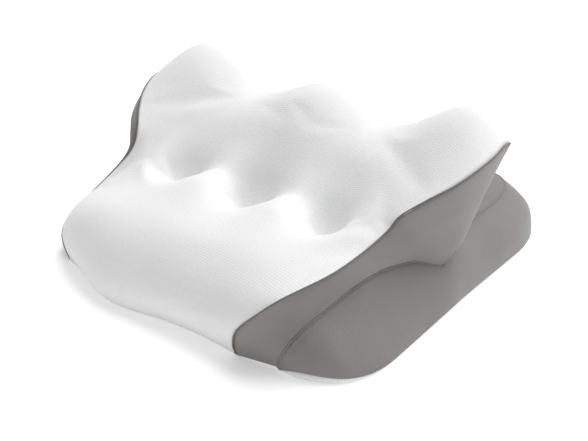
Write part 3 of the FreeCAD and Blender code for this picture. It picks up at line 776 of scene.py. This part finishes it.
cords = {}
for name, sign in (("right", 1), ("left", -1)):
    cords["top_" + name] = roll("seam_cord_" + name, cord_line(seam, TOP_CORD_RUN, sign),
                                CORD_RADIUS, CORD_ROWS)
    cords["top_" + name].data.materials.append(piping_and_painted_shade)
    cords["wing_" + name] = roll("wing_cord_" + name, cord_line(wing, WING_CORD_RUN, sign),
                                 WING_CORD_RADIUS, WING_CORD_ROWS)
    cords["wing_" + name].data.materials.append(wing_cord)

# %% [markdown]
# Inside is moulded slow-recovery foam: a base block and the head rest that flexes on it. Both are
# hidden by the cover at rest, so they are copied from the CAD blocks, merged, remeshed evenly and
# smoothed, as a moulding with softened edges.

# %% The foam core
foam_material, foam_tree, foam_shader = new_material("cream_foam", 0.9)
foam_where = add(foam_tree, "ShaderNodeTexCoord")
cells = add(foam_tree, "ShaderNodeTexVoronoi")
cells.inputs["Scale"].default_value = 900.0
foam_tree.links.new(foam_where.outputs["Object"], cells.inputs["Vector"])
foam_colour = blend_colour(foam_tree, cells.outputs["Distance"], (0.82, 0.78, 0.66), (0.88, 0.85, 0.75))
foam_tree.links.new(foam_colour.outputs[2], foam_shader.inputs["Base Color"])
foam_bump = add(foam_tree, "ShaderNodeBump")
foam_bump.inputs["Distance"].default_value = 0.0004
foam_tree.links.new(cells.outputs["Distance"], foam_bump.inputs["Height"])
foam_tree.links.new(foam_bump.outputs["Normal"], foam_shader.inputs["Normal"])


def foam_core(node, name):
    only(bpy.data.objects[node])
    bpy.ops.object.duplicate()
    piece = bpy.context.object
    piece.name = name
    bpy.ops.object.parent_clear(type="CLEAR_KEEP_TRANSFORM")
    piece.data.materials.clear()
    piece.data.materials.append(foam_material)
    bpy.ops.object.mode_set(mode="EDIT")
    bpy.ops.mesh.select_all(action="SELECT")
    bpy.ops.mesh.remove_doubles(threshold=0.0001)
    bpy.ops.object.mode_set(mode="OBJECT")
    bpy.ops.object.modifier_add(type="REMESH")
    piece.modifiers[-1].voxel_size = 0.006
    bpy.ops.object.modifier_apply(modifier=piece.modifiers[-1].name)
    bpy.ops.object.modifier_add(type="SMOOTH")
    piece.modifiers[-1].iterations = 4
    bpy.ops.object.modifier_apply(modifier=piece.modifiers[-1].name)
    bpy.ops.object.shade_smooth()
    print(name, "faces", len(piece.data.polygons))
    return piece


core_base = foam_core("foam_base", "foam_core_base")
core_head = foam_core("foam_head_rest", "foam_core_head")

# %% [markdown]
# The zipper at the rear keeps the shapes of the CAD model. Its tapes have a fine square weave, its
# teeth are dark plastic, and the slider and its pull are dark metal. Fine noise makes the colour
# and the gloss of the plastic and the metal uneven.

# %% Zipper finishes
tape_cloth = knit("zipper_tape_weave", (0.12, 0.115, 0.11), (0.2, 0.19, 0.185),
                  (0.0007, 0.0012), 0.00015, 0.8, 0.1, on_map=False)


def moulded(name, low, high, rough, metal, grain, depth):
    material, tree, shader = new_material(name, rough)
    shader.inputs["Metallic"].default_value = metal
    where = add(tree, "ShaderNodeTexCoord")
    speck = add(tree, "ShaderNodeTexNoise")
    speck.inputs["Scale"].default_value = grain
    speck.inputs["Detail"].default_value = 5.0
    tree.links.new(where.outputs["Object"], speck.inputs["Vector"])
    colour = blend_colour(tree, speck.outputs["Fac"], low, high)
    tree.links.new(colour.outputs[2], shader.inputs["Base Color"])
    spread = add(tree, "ShaderNodeMapRange")
    spread.inputs["To Min"].default_value = rough * 0.8
    spread.inputs["To Max"].default_value = min(rough * 1.25, 1.0)
    tree.links.new(speck.outputs["Fac"], spread.inputs["Value"])
    tree.links.new(spread.outputs["Result"], shader.inputs["Roughness"])
    bump = add(tree, "ShaderNodeBump")
    bump.inputs["Strength"].default_value = 0.4
    bump.inputs["Distance"].default_value = depth
    tree.links.new(speck.outputs["Fac"], bump.inputs["Height"])
    tree.links.new(bump.outputs["Normal"], shader.inputs["Normal"])
    return material


teeth_plastic = moulded("zipper_tooth_plastic", (0.09, 0.088, 0.086), (0.15, 0.146, 0.143),
                        0.45, 0.0, 1400.0, 0.00005)
slider_enamel = moulded("zipper_slider_enamel", (0.1, 0.1, 0.1), (0.19, 0.19, 0.19),
                        0.35, 0.8, 500.0, 0.00004)
FINISHES = {"zipper_tape": tape_cloth, "zipper_teeth": teeth_plastic, "zipper_stop": teeth_plastic,
            "zipper_slider": slider_enamel, "zipper_pull": slider_enamel}
for node in frame["nodes"]:
    for start, material in FINISHES.items():
        if node.startswith(start):
            target = bpy.data.objects[node]
            target.data.materials.clear()
            target.data.materials.append(material)
            print(node, "gets", material.name)

# %% [markdown]
# Every piece hides the CAD nodes it stands for. The top panel, the side panels, their cords and the
# foam of the head rest cross the flex line of the notch; they are left on no body, with their place
# baked into their points. The back of the head rest rides on the head rest; the slab, the wings and
# the rest stay with the base.


def cross(piece):
    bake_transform(piece)


REPLACED = {"top_panel": ("top_panel_front", "top_panel_head_rest"),
            "side_panel_right": ("side_panel_base_right", "side_panel_head_rest_right"),
            "side_panel_left": ("side_panel_base_left", "side_panel_head_rest_left"),
            "wing_panel_right": ("wing_panel_right",),
            "wing_panel_left": ("wing_panel_left",),
            "head_rest_back": ("head_rest_back_panel",),
            "slab_top": ("base_top_panel",),
            "rear_band": ("rear_band_upper", "rear_band_lower"),
            "bottom_panel": ("bottom_panel",)}
CROSSING = ("top_panel", "side_panel_right", "side_panel_left")
for name, nodes in REPLACED.items():
    piece = PANELS[name]
    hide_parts(*nodes)
    if name in CROSSING:
        cross(piece)
    else:
        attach(piece, "head_rest" if name == "head_rest_back" else "base")

for name in ("right", "left"):
    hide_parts("piping_base_" + name, "piping_head_rest_" + name)
    cross(cords["top_" + name])
    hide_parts("piping_wing_" + name)
    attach(cords["wing_" + name], "base")

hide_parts("foam_base")
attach(core_base, "base")
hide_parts("foam_head_rest")
cross(core_head)

# %% [markdown]
# A plain white floor and soft light: one broad sun high and behind gives even light with a soft
# edge to its shadow, a weak one on the right lifts the side, and the pale sky fills the rest. The
# floor also glows faintly, which keeps it near white where the light falls off.

# %% Floor and light
floor_material, floor_tree, floor_shader = new_material("white_floor", 0.95)
floor_where = add(floor_tree, "ShaderNodeTexCoord")
floor_noise = add(floor_tree, "ShaderNodeTexNoise")
floor_noise.inputs["Scale"].default_value = 3.0
floor_tree.links.new(floor_where.outputs["Object"], floor_noise.inputs["Vector"])
floor_colour = blend_colour(floor_tree, floor_noise.outputs["Fac"], (0.93, 0.93, 0.93), (0.95, 0.95, 0.95))
floor_tree.links.new(floor_colour.outputs[2], floor_shader.inputs["Base Color"])
floor_shader.inputs["Emission Color"].default_value = (1, 1, 1, 1)
floor_shader.inputs["Emission Strength"].default_value = 0.26
bpy.ops.object.select_all(action="DESELECT")
bpy.ops.mesh.primitive_plane_add(size=12.0, location=(0, 0, 0))
floor = bpy.context.object
floor.name = "floor"
floor.data.materials.append(floor_material)

SKY = 0.4
world = bpy.data.worlds.new("studio")
bpy.context.scene.world = world
world.use_nodes = True
world.node_tree.nodes["Background"].inputs["Color"].default_value = (1, 1, 1, 1)
world.node_tree.nodes["Background"].inputs["Strength"].default_value = SKY


def sun(name, strength, spread, direction):
    data = bpy.data.lights.new(name, "SUN")
    data.energy = strength
    data.angle = math.radians(spread)
    lamp = bpy.data.objects.new(name, data)
    bpy.context.scene.collection.objects.link(lamp)
    lamp.rotation_euler = Vector(direction).to_track_quat("Z", "Y").to_euler()


sun("broad_sun", 2.65, 50, (0.05, 0.6, 1.0))
sun("side_fill", 0.22, 60, (0.8, 0.1, 0.7))

# %% Camera
LENS = 51.8
AZIMUTH = math.radians(38.3)
ELEVATION = math.radians(28.0)
camera_data = bpy.data.cameras.new("camera")
camera_data.lens = LENS
camera_data.sensor_width = 36.0
camera = bpy.data.objects.new("camera", camera_data)
bpy.context.scene.collection.objects.link(camera)
bpy.context.scene.camera = camera
to_camera = Vector((math.sin(AZIMUTH) * math.cos(ELEVATION), -math.cos(AZIMUTH) * math.cos(ELEVATION),
                    math.sin(ELEVATION)))
camera.location = Vector((0.42818, -0.56105, 0.39436))
camera.rotation_euler = to_camera.to_track_quat("Z", "Y").to_euler()
bpy.context.scene.view_settings.view_transform = "Standard"

# %% Finish
import json
